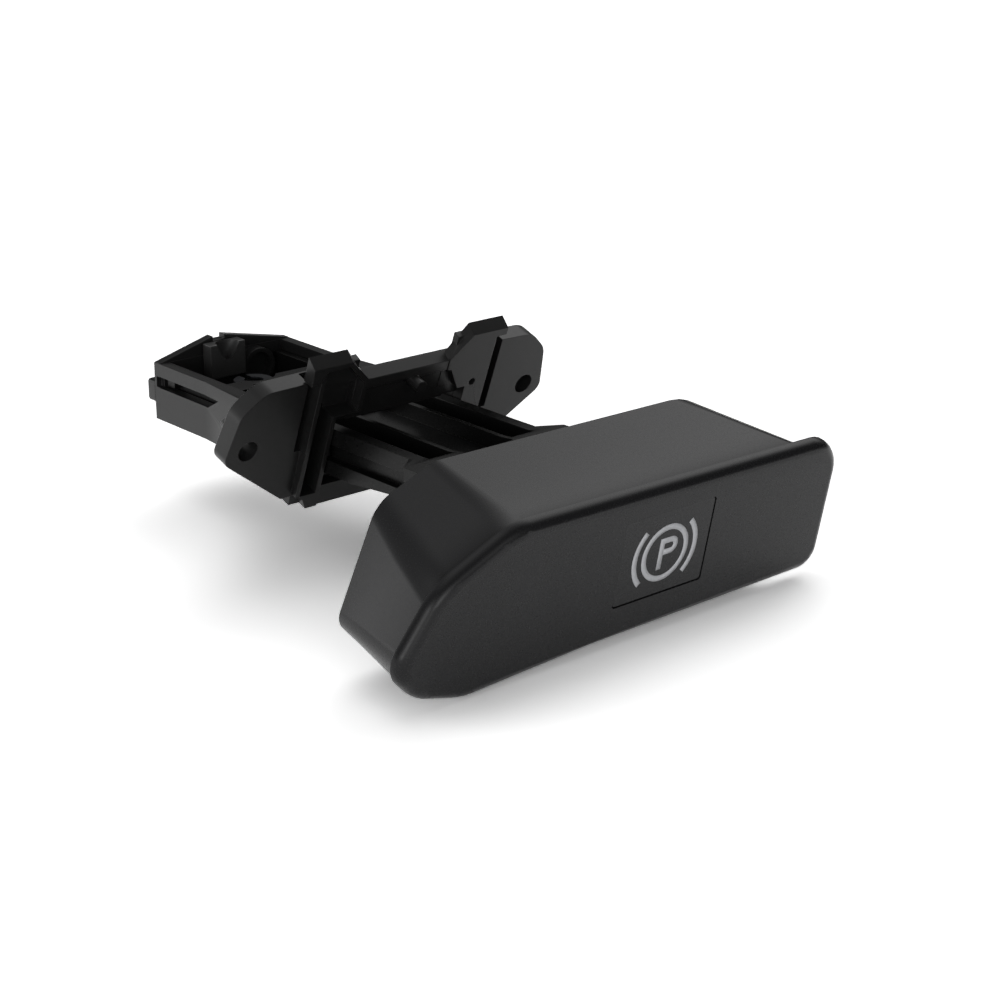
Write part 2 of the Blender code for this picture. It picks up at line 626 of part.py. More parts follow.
def build_bracket(parts, tools, material):
    """The bracket, one moulding: guide box, ears, pillars, bar, sill and rear wall."""
    bracket = add_object("bracket", guide_box_mesh(), parts, material)
    build = Builder(bracket, tools)
    build.join_pair(pillar_back_mesh(), EAR_FRAME)
    build.join_pair(ear_mesh())
    build.join(sill_mesh(), EAR_FRAME)
    build.join_pair(pillar_mesh(), EAR_FRAME)
    build.join_pair(pillar_head_mesh(), EAR_FRAME)
    build.join_pair(side_tab_mesh(), EAR_FRAME)
    build.join(bar_wall_mesh(), EAR_FRAME)
    build.join(bar_mesh(), EAR_FRAME)

    # Gabled rear wall with the cable's notch
    gable_top = BOX_TOP_Z + GABLE_RISE
    gable_side = BOX_HALF_WIDTH - 0.0002
    gable = [
        (-gable_side, BOX_TOP_Z - 0.0020),
        (gable_side, BOX_TOP_Z - 0.0020),
        (gable_side, BOX_TOP_Z + 0.0001),
        (CABLE_X + NOTCH_HALF_WIDTH, gable_top),
        (CABLE_X + NOTCH_HALF_WIDTH, gable_top - NOTCH_DEPTH),
        (CABLE_X - NOTCH_HALF_WIDTH, gable_top - NOTCH_DEPTH),
        (CABLE_X - NOTCH_HALF_WIDTH, gable_top),
        (-gable_side, BOX_TOP_Z + 0.0001),
    ]
    build.join(prism_mesh("gable", gable, REAR_INNER_Y + 0.0001, REAR_Y - 0.0001, "Y"))

    # Inside of the guide box, open at the top
    low = (-BOX_INNER_X, SHOULDER_Y - 0.0010, FLOOR_TOP_Z + 0.0001)
    high = (BOX_INNER_X, REAR_INNER_Y, BOX_TOP_Z + 0.0200)
    build.cut(box_mesh("guide_hollow", low, high))

    # Round seat on the inside of the rear wall
    start = (RING_X, REAR_INNER_Y + 0.0008, RING_Z)
    end = (RING_X, REAR_INNER_Y - RING_DEPTH, RING_Z)
    build.join(rod_mesh("ring", start, end, RING_RADIUS, sides=32))
    start = (RING_X, REAR_INNER_Y - 0.0002, RING_Z)
    end = (RING_X, REAR_INNER_Y - RING_DEPTH - 0.0010, RING_Z)
    build.cut(rod_mesh("ring_bore", start, end, RING_RADIUS - RING_WALL, sides=32))

    # Mouth that the stem passes through
    low = (-MOUTH_HALF_WIDTH, -0.0200, FLOOR_TOP_Z)
    high = (MOUTH_HALF_WIDTH, SHOULDER_Y, STEM_TOP_Z + SLIDE_GAP)
    build.cut(box_mesh("mouth", low, high))

    # Slots for the slider's catches, with a slanted front end, and a shallow groove on to the rear corner
    slot_low = CATCH_Z - SLOT_HEIGHT / 2.0
    slot_high = CATCH_Z + SLOT_HEIGHT / 2.0
    slot = [
        (SLOT_FRONT_Y, slot_low),
        (REAR_INNER_Y + 0.0004, slot_low),
        (REAR_INNER_Y + 0.0004, slot_high),
        (SLOT_FRONT_Y - SLOT_SLANT, slot_high),
    ]
    build.cut_pair(prism_mesh("catch_slot", slot, BOX_INNER_X - 0.0010, EAR_REACH, "X"))
    low = (BOX_HALF_WIDTH - 0.0012, REAR_INNER_Y - 0.0020, slot_low + 0.0001)
    high = (BOX_HALF_WIDTH + 0.0010, REAR_Y - 0.0008, slot_high - 0.0001)
    build.cut_pair(box_mesh("slot_groove", low, high))

    # Slots between the pillars and the ears
    low = (PILLAR_OUTER_X - 0.0001, -0.0060, -0.0030)
    high = (EAR_INNER_X, EAR_SLOT_DEPTH, EAR_TOP + 0.0004)
    build.cut_pair(box_mesh("ear_slot", low, high), EAR_FRAME)

    low = (PILLAR_OUTER_X - RIGHT_SLOT_TRIM, -0.0070, -0.0034)
    high = (EAR_INNER_X + RIGHT_SLOT_EXTRA, EAR_SLOT_DEPTH + 0.0004, RIGHT_SLOT_TOP)
    build.cut(box_mesh("right_slot", low, high), EAR_FRAME)

    # Slanted inner edge of the right pillar's head, below the bar
    under_bar = BAR_TOP - BAR_HEIGHT - 0.0002
    slant = [
        (PILLAR_HEAD_INNER_X - 0.0010, PILLAR_HEAD_BOTTOM - 0.0004),
        (MOUTH_HALF_WIDTH - 0.0018, PILLAR_HEAD_BOTTOM - 0.0004),
        (PILLAR_HEAD_INNER_X + 0.0010, under_bar),
        (PILLAR_HEAD_INNER_X - 0.0010, under_bar),
    ]
    build.cut(prism_mesh("head_slant", slant, -0.0090, 0.0001, "Y"), EAR_FRAME)

    # Screw holes in the ears
    start = (HOLE_X, -0.0100, 0.0)
    end = (HOLE_X, 0.0400, 0.0)
    build.cut_pair(rod_mesh("screw_hole", start, end, HOLE_RADIUS), EAR_FRAME)

    # Pockets in the front of the left pillar
    build.cut(leg_pocket_mesh(), EAR_FRAME)
    build.cut(head_pocket_mesh(), EAR_FRAME)
    build.cut(head_pocket_back_mesh(), EAR_FRAME)

    # Small hole in the right pillar
    hole_x = MOUTH_HALF_WIDTH + 0.0018
    start = (hole_x, -0.0050, PILLAR_HEAD_BOTTOM + 0.0008)
    end = (hole_x, 0.0030, PILLAR_HEAD_BOTTOM + 0.0008)
    build.cut(rod_mesh("pillar_hole", start, end, 0.0008, sides=16), EAR_FRAME)

    # Peg on the wall below the bar
    start = (PEG_X, BAR_WALL / 2.0, PEG_HEIGHT)
    end = (PEG_X, -PEG_LENGTH, PEG_HEIGHT)
    build.join(rod_mesh("peg", start, end, PEG_RADIUS), EAR_FRAME)

    # Cross web that carries the spring
    low = (-BEAM_INNER_X + SLIDE_GAP, CROSS_WEB_Y, FLOOR_TOP_Z - 0.0005)
    high = (BEAM_INNER_X - SLIDE_GAP, CROSS_WEB_Y + CROSS_WEB_THICKNESS, RAIL_TOP_Z)
    build.join(box_mesh("cross_web", low, high))
    start = (0.0, CROSS_WEB_Y + 0.0010, SPRING_Z)
    end = (0.0, SPRING_FRONT_Y + SPIGOT_LENGTH, SPRING_Z)
    build.join(rod_mesh("front_spigot", start, end, SPIGOT_RADIUS, sides=16))

    # Ribs of the mouth that run in the stem's tracks
    rib_top = STEM_TOP_Z - TRACK_TOP - SLIDE_GAP
    rib_bottom = STEM_TOP_Z - TRACK_TOP - TRACK_HEIGHT + SLIDE_GAP
    low = (STEM_HALF_WIDTH - TRACK_DEPTH + SLIDE_GAP, 0.0015, rib_bottom)
    high = (MOUTH_HALF_WIDTH + 0.0010, STEM_SHOULDER_Y - 0.0002, rib_top)
    build.join_pair(box_mesh("guide_rib", low, high))

    # Rear lugs below the slots
    low = (BOX_HALF_WIDTH - 0.0045, REAR_Y - 0.0010, -0.0084)
    high = (BOX_HALF_WIDTH - 0.0001, REAR_Y + 0.0034, -0.0034)
    build.join_pair(box_mesh("rear_lug", low, high, 0.0007))
    return bracket


def slider_plan_mesh():
    """The slider seen from above, as one slab: stem, shoulders, rails, cross bar and rear arms."""
    bar_rear = CROSS_BAR_Y + CROSS_BAR_THICKNESS
    right = [
        (STEM_HALF_WIDTH, ROOT_FULL_Y),
        (STEM_HALF_WIDTH, STEM_SHOULDER_Y),
        (RAIL_HALF_WIDTH, STEM_SHOULDER_Y),
        (RAIL_HALF_WIDTH, CATCH_REAR_Y),
        (RAIL_HALF_WIDTH - ARM_THICKNESS, CATCH_REAR_Y),
        (RAIL_HALF_WIDTH - ARM_THICKNESS, bar_rear),
    ]
    left = [(-x, y) for x, y in reversed(right)]
    return prism_mesh("slider_plan", right + left, STEM_BOTTOM_Z, STEM_TOP_Z, "Z")


def root_mesh():
    """The root: the stem flares to a wider block that ends in the leaning root plate."""
    depth = PLATE_FRONT + PLATE_THICKNESS / 2.0
    stations = (
        (ROOT_START_Y + 0.0010, STEM_HALF_WIDTH - 0.0006, STEM_BOTTOM_Z + 0.0002, STEM_TOP_Z - 0.0002),
        (ROOT_FULL_Y, ROOT_HALF_WIDTH, STEM_BOTTOM_Z - ROOT_DROP, STEM_TOP_Z + ROOT_RISE),
        (None, ROOT_HALF_WIDTH, STEM_BOTTOM_Z - ROOT_DROP, STEM_TOP_Z + ROOT_RISE),
    )
    rings = []
    for y, half, bottom, top in stations:
        ring = []
        for x, z in ((-half, bottom), (half, bottom), (half, top), (-half, top)):
            lean = HEAD_Y + (depth - (z - HEAD_Z) * math.sin(HEAD_LEAN)) / math.cos(HEAD_LEAN)
            ring.append(Vector((x, lean if y is None else y, z)))
        rings.append(ring)
    return loft_mesh("root", rings)


def build_slider(parts, tools, material):
    """The slider, one moulding: two channel beams and their web, rails, cross bar, catches and root plate."""
    slider = add_object("slider", slider_plan_mesh(), parts, material)
    build = Builder(slider, tools)
    build.join(root_mesh())
    over = STEM_TOP_Z + 0.0060
    under = STEM_BOTTOM_Z - 0.0020

    # The underside rises towards the head
    rise_z = STEM_BOTTOM_Z + UNDER_RISE
    underside = [
        (UNDER_START_Y, STEM_BOTTOM_Z - 0.0001),
        (ROOT_START_Y, rise_z),
        (UNDER_END_Y, rise_z),
        (UNDER_END_Y, under - 0.0010),
        (UNDER_START_Y, under - 0.0010),
    ]
    build.cut(prism_mesh("underside", underside, -0.0400, 0.0400, "X"))

    # The space between the beams: over and under the web, and right through behind it
    web_top = STEM_TOP_Z - WEB_DROP
    space_front = ROOT_FULL_Y - 0.0008
    space = [
        (space_front, over),
        (space_front, web_top),
        (WEB_END_Y, web_top),
        (WEB_END_Y, web_top - WEB_THICKNESS),
        (space_front, web_top - WEB_THICKNESS),
        (space_front, under),
        (CROSS_BAR_Y, under),
        (CROSS_BAR_Y, over),
    ]
    build.cut(prism_mesh("beam_space", space, -BEAM_INNER_X, BEAM_INNER_X, "X"))

    # Lower rails inside the guide box, and thin arms behind the cross bar
    low = (-0.0300, CROSS_WEB_Y + 0.0010, RAIL_TOP_Z)
    high = (0.0300, REAR_Y, over)
    build.cut(box_mesh("rail_top", low, high))
    low = (-0.0300, CROSS_BAR_Y + CROSS_BAR_THICKNESS + 0.0004, under)
    high = (0.0300, REAR_Y, CATCH_Z - 0.0026)
    build.cut(box_mesh("under_arms", low, high))

    # Troughs along the top of both beams
    trough_outer = STEM_HALF_WIDTH - TRACK_DEPTH - TROUGH_WALL
    low = (BEAM_INNER_X + TROUGH_WALL, ROOT_FULL_Y + 0.0010, STEM_TOP_Z - TROUGH_DEPTH)
    high = (trough_outer, CROSS_BAR_Y - 0.0020, over + 0.0010)
    build.cut_pair(box_mesh("trough", low, high))

    # Tracks along the outer sides
    track_top = STEM_TOP_Z - TRACK_TOP
    low = (STEM_HALF_WIDTH - TRACK_DEPTH, ROOT_START_Y - 0.0010, track_top - TRACK_HEIGHT)
    high = (ROOT_HALF_WIDTH + 0.0010, STEM_SHOULDER_Y + 0.0010, track_top)
    build.cut_pair(box_mesh("track", low, high))

    # Catches at the ends of the arms
    low = (RAIL_HALF_WIDTH - 0.0010, CATCH_REAR_Y - CATCH_LENGTH, CATCH_Z - CATCH_HEIGHT / 2.0)
    high = (BOX_HALF_WIDTH - CATCH_RECESS, CATCH_REAR_Y - 0.0002, CATCH_Z + CATCH_HEIGHT / 2.0)
    build.join_pair(box_mesh("catch", low, high))

    # The spring's rear spigot and the block that takes the cable's nipple
    start = (0.0, CROSS_BAR_Y + 0.0010, SPRING_Z)
    end = (0.0, SPRING_REAR_Y - SPIGOT_LENGTH, SPRING_Z)
    build.join(rod_mesh("rear_spigot", start, end, SPIGOT_RADIUS, sides=16))
    start = (CABLE_X, NIPPLE_Y, STEM_BOTTOM_Z + 0.0008)
    end = (CABLE_X, NIPPLE_Y, NIPPLE_TOP_Z)
    build.join(rod_mesh("nipple_block", start, end, NIPPLE_BLOCK_RADIUS))
    start = (CABLE_X, NIPPLE_Y, NIPPLE_TOP_Z + 0.0001)
    end = (CABLE_X, NIPPLE_Y, over)
    build.cut(rod_mesh("clip_seat", start, end, CLIP_RADIUS + GAP))
    start = (CABLE_X, NIPPLE_Y, STEM_BOTTOM_Z + 0.0030)
    end = (CABLE_X, NIPPLE_Y, over)
    build.cut(rod_mesh("nipple_pocket", start, end, 0.0027))
    low = (CABLE_X - 0.0009, NIPPLE_Y, STEM_BOTTOM_Z + 0.0042)
    high = (CABLE_X + 0.0009, NIPPLE_Y + 0.0070, over)
    build.cut(box_mesh("cable_slit", low, high))

    # Root plate inside the head
    corners = (
        (-PLATE_HALF_WIDTH, PLATE_BOTTOM, 0.003),
        (PLATE_HALF_WIDTH, PLATE_BOTTOM, 0.003),
        (PLATE_HALF_WIDTH, PLATE_TOP, 0.003),
        (-PLATE_HALF_WIDTH, PLATE_TOP, 0.003),
    )
    outline = rounded_outline(corners, 4)
    plate = prism_mesh("root_plate", outline, PLATE_FRONT, PLATE_FRONT + PLATE_THICKNESS, "Y")
    build.join(plate, HEAD_FRAME)
    start = (SCREW_X, PLATE_FRONT - 0.0020, 0.0)
    end = (SCREW_X, PLATE_FRONT + PLATE_THICKNESS + 0.0020, 0.0)
    build.cut_pair(rod_mesh("plate_hole", start, end, SCREW_RADIUS + GAP, sides=20), HEAD_FRAME)
    return slider


def head_ring(corners, depth):
    """Points of an outline at a depth behind the face."""
    return [HEAD_FRAME @ Vector((p.x, depth, p.y)) for p in rounded_outline(corners)]


def body_corners(depth):
    """The body's outline behind the lip, at a depth behind the face."""
    front = inset_corners(FACE_CORNERS, LIP_STEP)
    for index in RIGHT_CORNERS:
        front[index] = (BODY_RIGHT_X, front[index][1], BODY_RIGHT_ROUND)
    back = []
    for (x, z, _), (shift_x, shift_z), radius in zip(front, BODY_DRAFT, BODY_BACK_ROUND):
        back.append((x + shift_x, z + shift_z, radius))
    return blend_corners(front, back, (depth - LIP_DEPTH) / (HEAD_DEPTH - LIP_DEPTH))


def grip_mesh():
    """The hollow head as one loft: rounded face, lip, tapering body, open back, and the hollow inside."""
    rings = []
    for step in range(EDGE_STEPS + 1):
        angle = math.radians(90.0) * step / EDGE_STEPS
        inset = FACE_ROUND * (1.0 - math.sin(angle))
        depth = FACE_ROUND * (1.0 - math.cos(angle))
        rings.append(head_ring(inset_corners(FACE_CORNERS, inset), depth))
    rings.append(head_ring(FACE_CORNERS, LIP_DEPTH - 0.0002))
    rings.append(head_ring(inset_corners(FACE_CORNERS, 0.0002), LIP_DEPTH))
    rings.append(head_ring(body_corners(LIP_DEPTH), LIP_DEPTH + 0.0002))
    middle = (LIP_DEPTH + HEAD_DEPTH) / 2.0
    rings.append(head_ring(body_corners(middle), middle))
    rings.append(head_ring(body_corners(HEAD_DEPTH), HEAD_DEPTH - SOFT_EDGE))
    rings.append(head_ring(inset_corners(body_corners(HEAD_DEPTH), SOFT_EDGE), HEAD_DEPTH))
    rings.append(head_ring(inset_corners(body_corners(HEAD_DEPTH), SHELL_WALL), HEAD_DEPTH))
    rings.append(head_ring(inset_corners(body_corners(middle), SHELL_WALL), middle))
    rings.append(head_ring(inset_corners(body_corners(FACE_WALL + 0.0006), SHELL_WALL), FACE_WALL + 0.0006))
    rings.append(head_ring(inset_corners(body_corners(FACE_WALL), SHELL_WALL + 0.0006), FACE_WALL))
    return loft_mesh("grip", rings)


def tile_outline(margin):
    """The tile's outline in the head's frame, grown by a margin."""
    half_width = TILE_WIDTH / 2.0 + margin
    half_height = TILE_HEIGHT / 2.0 + margin
    corners = (
        (TILE_X - half_width, -half_height, TILE_ROUND),
        (TILE_X + half_width, -half_height, TILE_ROUND),
        (TILE_X + half_width, half_height, TILE_ROUND),
        (TILE_X - half_width, half_height, TILE_ROUND),
    )
    return rounded_outline(corners, 3)


def build_grip(parts, tools, material):
    """The head, with the tile's pocket, the screw bosses and its ribs."""
    grip = add_object("grip", grip_mesh(), parts, material)
    build = Builder(grip, tools)
    pocket = prism_mesh("tile_pocket", tile_outline(GAP), -0.0020, TILE_THICKNESS + GAP, "Y")
    build.cut(pocket, HEAD_FRAME)
    boss_end = PLATE_FRONT - GAP
    start = (SCREW_X, FACE_WALL - 0.0010, 0.0)
    end = (SCREW_X, boss_end, 0.0)
    build.join_pair(rod_mesh("boss", start, end, BOSS_RADIUS), HEAD_FRAME)
    start = (SCREW_X, FACE_WALL + 0.0010, 0.0)
    end = (SCREW_X, boss_end + 0.0020, 0.0)
    build.cut_pair(rod_mesh("boss_bore", start, end, SCREW_RADIUS + GAP, sides=20), HEAD_FRAME)
    half_rib = HEAD_RIB_THICKNESS / 2.0
    low = (HEAD_RIB_X - half_rib, FACE_WALL - 0.0010, HEAD_RIB_BOTTOM)
    high = (HEAD_RIB_X + half_rib, PLATE_FRONT - 0.0030, HEAD_RIB_TOP)
    build.join_pair(box_mesh("head_rib", low, high), HEAD_FRAME)
    return grip


def build_tile(parts, material):
    """The flush insert that carries the symbol."""
    mesh = prism_mesh("symbol_tile", tile_outline(0.0), 0.0, TILE_THICKNESS, "Y")
    tile = add_object("symbol_tile", mesh, parts, material)
    tile.matrix_world = HEAD_FRAME
    return tile


def build_screw(name, x, parts, material):
    """A pan-head screw: a turned profile."""
    head = SCREW_HEAD_RADIUS
    profile = [
        (0.0, SCREW_HEAD_HEIGHT),
        (head * 0.55, SCREW_HEAD_HEIGHT),
        (head * 0.90, SCREW_HEAD_HEIGHT * 0.70),
        (head, SCREW_HEAD_HEIGHT * 0.25),
        (head, 0.0),
        (SCREW_RADIUS, 0.0),
        (SCREW_RADIUS, -SCREW_LENGTH + 0.0008),
        (SCREW_RADIUS - 0.0006, -SCREW_LENGTH),
        (0.0, -SCREW_LENGTH),
    ]
    shape = bmesh.new()
    verts = [shape.verts.new((r, 0.0, z)) for r, z in reversed(profile)]
    for first, second in zip(verts, verts[1:]):
        shape.edges.new((first, second))
    mesh = bpy.data.meshes.new(name)
    shape.to_mesh(mesh)
    shape.free()
    screw = add_object(name, mesh, parts, material)
    turn = screw.modifiers.new("Turn", "SCREW")
    turn.steps = 24
    turn.render_steps = 24
    turn.use_merge_vertices = True
    turn.merge_threshold = 0.00001
    turn.use_normal_calculate = True
    seat = PLATE_FRONT + PLATE_THICKNESS + GAP
    place = Matrix.Translation((x, seat, 0.0)) @ Matrix.Rotation(math.radians(-90.0), 4, "X")
    screw.matrix_world = HEAD_FRAME @ place
    return screw


def build_spring(parts, material):
    """The return spring: a round wire coil with closed ends."""
    data = bpy.data.curves.new("return_spring", "CURVE")
    data.dimensions = "3D"
    data.bevel_depth = SPRING_WIRE / 2.0
    data.bevel_resolution = 2
    data.use_fill_caps = True
    length = SPRING_REAR_Y - SPRING_FRONT_Y - SPRING_WIRE
    steps_per_turn = 16
    closed = SPRING_WIRE * 1.15
    count = SPRING_TURNS * steps_per_turn
    points = []
    for step in range(count + 1):
        turn = step / steps_per_turn
        open_turns = SPRING_TURNS - 2.0
        rise = (length - 2.0 * closed) / open_turns
        if turn < 1.0:
            along = closed * turn
        elif turn > SPRING_TURNS - 1.0:
            along = length - closed * (SPRING_TURNS - turn)
        else:
            along = closed + rise * (turn - 1.0)
        angle = 2.0 * math.pi * turn
        points.append((
            SPRING_RADIUS * math.cos(angle),
            SPRING_FRONT_Y + SPRING_WIRE / 2.0 + along,
            SPRING_Z + SPRING_RADIUS * math.sin(angle),
        ))
    spline = data.splines.new("POLY")
    spline.points.add(len(points) - 1)
    for spot, point in zip(spline.points, points):
        spot.co = (*point, 1.0)
    spring = bpy.data.objects.new("return_spring", data)
    data.materials.append(material)
    parts.objects.link(spring)
    return spring


def build_buffer(name, side, parts, material):
    """A rubber pad between the bracket's inner step and the slider's shoulder."""
    inner = BOX_INNER_X + 0.0002
    outer = MOUTH_HALF_WIDTH - GAP
    near = STEM_SHOULDER_Y + GAP
    low = (min(side * inner, side * outer), near, STEM_BOTTOM_Z)
    high = (max(side * inner, side * outer), near + BUFFER_THICKNESS, RAIL_TOP_Z)
    return add_object(name, box_mesh(name, low, high, 0.0002), parts, material)


def build_funnel(parts, tools, material):
    """The insert before the notch: a block with a conical chute that leads the cable."""
    half = 0.0046
    front = REAR_INNER_Y - GAP - 0.0032
    low = (CABLE_X - half, front, -0.0040)
    high = (CABLE_X + half, REAR_INNER_Y - GAP, BOX_TOP_Z + GABLE_RISE - NOTCH_DEPTH)
    funnel = add_object("cable_funnel", box_mesh("cable_funnel", low, high, SOFT_EDGE), parts, material)
    build = Builder(funnel, tools)
    start = (CABLE_X, REAR_INNER_Y - 0.0004, -0.0026)
    end = (CABLE_X, front - 0.0008, BOX_TOP_Z + GABLE_RISE + 0.0010)
    build.cut(rod_mesh("chute", start, end, 0.0003, 0.0037, sides=32))
    return funnel


def build_clip(parts, tools, material):
    """The steel clip that keeps the cable's nipple in its pocket."""
    start = (CABLE_X, NIPPLE_Y, NIPPLE_TOP_Z + GAP)
    end = (CABLE_X, NIPPLE_Y, NIPPLE_TOP_Z + GAP + 0.0008)
    clip = add_object("nipple_clip", rod_mesh("nipple_clip", start, end, CLIP_RADIUS), parts, material)
    build = Builder(clip, tools)
    under = NIPPLE_TOP_Z - 0.0010
    over = NIPPLE_TOP_Z + 0.0030
    start = (CABLE_X, NIPPLE_Y, under)
    end = (CABLE_X, NIPPLE_Y, over)
    build.cut(rod_mesh("clip_eye", start, end, 0.0021))
    low = (CABLE_X - 0.0008, NIPPLE_Y, under)
    high = (CABLE_X + 0.0008, NIPPLE_Y + 0.0070, over)
    build.cut(box_mesh("clip_slit", low, high))
    return clip


def carry_on_slide(parts, names):
    """Parents the moving pieces to an empty on the slide axis, the middle line of the stem."""
    axis = bpy.data.objects.new("pull_axis", None)
    parts.objects.link(axis)
    axis.location = (0.0, 0.0, (STEM_TOP_Z + STEM_BOTTOM_Z) / 2.0)
    bpy.context.view_layer.update()
    for name in names:
        piece = parts.objects[name]
        piece.parent = axis
        piece.matrix_parent_inverse = axis.matrix_world.inverted()


def shade(parts):
    """Smooth shading on round forms, sharp at moulded edges."""
    for piece in parts.objects:
        if piece.type == "MESH":
            piece.data.shade_smooth()
            piece.data.set_sharp_from_angle(angle=math.radians(35.0))


def main():
    clear_scene()
    parts = make_collection("parking_brake_release_handle")
    tools = make_collection("cutters")
    black = make_material("black_moulded_plastic", (0.022, 0.022, 0.023), 0.42)
    satin = make_material("satin_grip_plastic", (0.026, 0.026, 0.027), 0.36)
    print_black = make_material("symbol_tile_plastic", (0.030, 0.030, 0.031), 0.34)
    steel = make_material("zinc_plated_steel", (0.35, 0.35, 0.36), 0.35, 1.0)
    rubber = make_material("black_rubber", (0.012, 0.012, 0.012), 0.80)

    build_bracket(parts, tools, black)
    build_slider(parts, tools, black)
    build_grip(parts, tools, satin)
    build_tile(parts, print_black)
    build_screw("stem_screw_right", SCREW_X, parts, steel)
    build_screw("stem_screw_left", -SCREW_X, parts, steel)
    build_spring(parts, steel)
    build_buffer("rest_buffer_right", 1.0, parts, rubber)
    build_buffer("rest_buffer_left", -1.0, parts, rubber)
    build_funnel(parts, tools, black)
    build_clip(parts, tools, steel)
    carry_on_slide(parts, ("slider", "grip", "symbol_tile", "stem_screw_left", "stem_screw_right", "nipple_clip"))
    shade(parts)


main()
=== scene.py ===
"""Parking brake release handle: moulded black pull handle, its sliding stem and its dashboard bracket."""

import json
import math

import bpy
from bpy.props import FloatProperty, PointerProperty, StringProperty
from mathutils import Matrix, Vector

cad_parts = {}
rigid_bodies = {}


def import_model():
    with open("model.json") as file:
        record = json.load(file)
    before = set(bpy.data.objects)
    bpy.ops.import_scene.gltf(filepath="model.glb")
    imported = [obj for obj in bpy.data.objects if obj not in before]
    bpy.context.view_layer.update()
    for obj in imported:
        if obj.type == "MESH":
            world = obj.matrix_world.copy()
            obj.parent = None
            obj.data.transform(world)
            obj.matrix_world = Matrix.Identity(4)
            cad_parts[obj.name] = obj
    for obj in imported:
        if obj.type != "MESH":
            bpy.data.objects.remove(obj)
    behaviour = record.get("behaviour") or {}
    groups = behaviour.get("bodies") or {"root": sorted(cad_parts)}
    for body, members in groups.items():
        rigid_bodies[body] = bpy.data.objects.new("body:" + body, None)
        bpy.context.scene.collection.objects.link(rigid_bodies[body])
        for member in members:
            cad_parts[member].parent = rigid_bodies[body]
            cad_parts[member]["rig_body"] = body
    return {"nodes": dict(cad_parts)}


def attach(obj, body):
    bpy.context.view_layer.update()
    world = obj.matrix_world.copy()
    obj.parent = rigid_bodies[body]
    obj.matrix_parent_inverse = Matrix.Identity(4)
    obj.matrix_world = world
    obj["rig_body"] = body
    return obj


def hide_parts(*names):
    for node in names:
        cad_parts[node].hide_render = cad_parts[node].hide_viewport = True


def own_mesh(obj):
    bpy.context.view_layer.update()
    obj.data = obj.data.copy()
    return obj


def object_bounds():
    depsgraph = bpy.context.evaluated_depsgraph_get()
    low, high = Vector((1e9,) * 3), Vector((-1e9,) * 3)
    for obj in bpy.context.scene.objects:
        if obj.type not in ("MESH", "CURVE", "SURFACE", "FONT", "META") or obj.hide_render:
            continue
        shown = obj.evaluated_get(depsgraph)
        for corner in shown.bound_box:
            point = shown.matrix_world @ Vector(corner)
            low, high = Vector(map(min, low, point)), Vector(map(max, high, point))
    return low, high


bl_info = {
    "name": "Parking Brake Release Handle",
    "version": (1, 0, 0),
    "blender": (4, 5, 0),
    "location": "View3D > Sidebar > Handle",
    "description": "Dresses the pull handle, its stem and its bracket, and sets the studio around them",
    "category": "Object",
}

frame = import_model()
CAD_LOW, CAD_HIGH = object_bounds()

# The handle's face leans with its top towards the driver. Its own X runs to the right, its Y into the head
# and its Z up the face.
FACE_LEAN = math.radians(11.0)
FACE_ORIGIN = Vector((0.0, -0.0679, -0.0118))
FACE_PLACE = Matrix.Translation(FACE_ORIGIN) @ Matrix.Rotation(FACE_LEAN, 4, "X")
FACE_INWARD = FACE_PLACE.col[1].xyz

# How the copy of a model node is cleaned, rounded and smoothed
MERGE_DISTANCE = 0.000004
FLAT_ANGLE = math.radians(0.6)
SHARP_ANGLE = math.radians(32.0)
EDGE_SEGMENTS = 2
MOULDING_SMOOTHING = math.radians(38.0)
HEAD_SMOOTHING = math.radians(40.0)
COIL_SMOOTHING = math.radians(70.0)

# The head flares softly up to its lip: how far behind the face this starts to fade, over what length, and
# how high it is. It shows on faces that look up: from the first Z of a normal on, in full from the second.
FLARE_START = 0.0030
FLARE_LENGTH = 0.0040
FLARE_HEIGHT = 0.0013
FLARE_FROM_UP = 0.45
FLARE_FULL_UP = 0.85

# The printed symbol is drawn from its own middle: the ink's film, then the arcs in degrees, then the letter
INK_THICKNESS = 0.00004
INK_SUNK = 0.00001
POINT_MERGE = 0.000001
RING_STEPS = 72
SHOE_STEPS = 24
SHOE_HALF_ANGLE = 44.0
LETTER_STEM_X = -0.00105
LETTER_BOWL_X = 0.00125
LETTER_TOP = 0.00258
LETTER_WAIST = 0.00015
LETTER_FOOT = -0.00340
BOWL_STEPS = 14

# The floor lies just under the part. The studio's light is low, to keep the black plastic black, so the
# floor is painted brighter than white where it is looked at, and comes out white.
FLOOR_SIZE = 12.0
FLOOR_GAP = 0.0002
FLOOR_SEEN = (1.92, 1.92, 1.92, 1.0)

# The studio is a dark room with soft patches of light: elevation, azimuth and brightness of each. Angles are
# in degrees, and an azimuth runs from the front of the handle towards its right.
ROOM_GLOW = 0.0
PATCH_TIGHTNESS = 26.0
LIGHT_PATCHES = (
    (5.0, 202.5, 1.35),
    (5.0, 225.0, 3.12),
    (5.0, 292.5, 6.64),
    (5.0, 337.5, 5.69),
    (22.0, 10.0, 1.20),
    (22.0, 241.4, 0.16),
    (41.0, 98.2, 2.40),
    (41.0, 130.9, 1.48),
    (41.0, 229.1, 1.31),
    (61.0, 122.9, 0.81),
    (61.0, 174.3, 0.30),
    (61.0, 277.1, 0.70),
    (61.0, 328.6, 0.28),
    (84.0, 240.0, 1.50),
)

# Where the photograph was taken from
CAMERA_PLACE = Vector((-0.25643, -0.32124, 0.13020))
CAMERA_AZIMUTH = math.radians(-41.5)
CAMERA_ELEVATION = math.radians(19.7)
CAMERA_ROLL = math.radians(0.5)
CAMERA_FOCAL_PIXELS = 2130.0
FRAME_PIXELS = 990.0

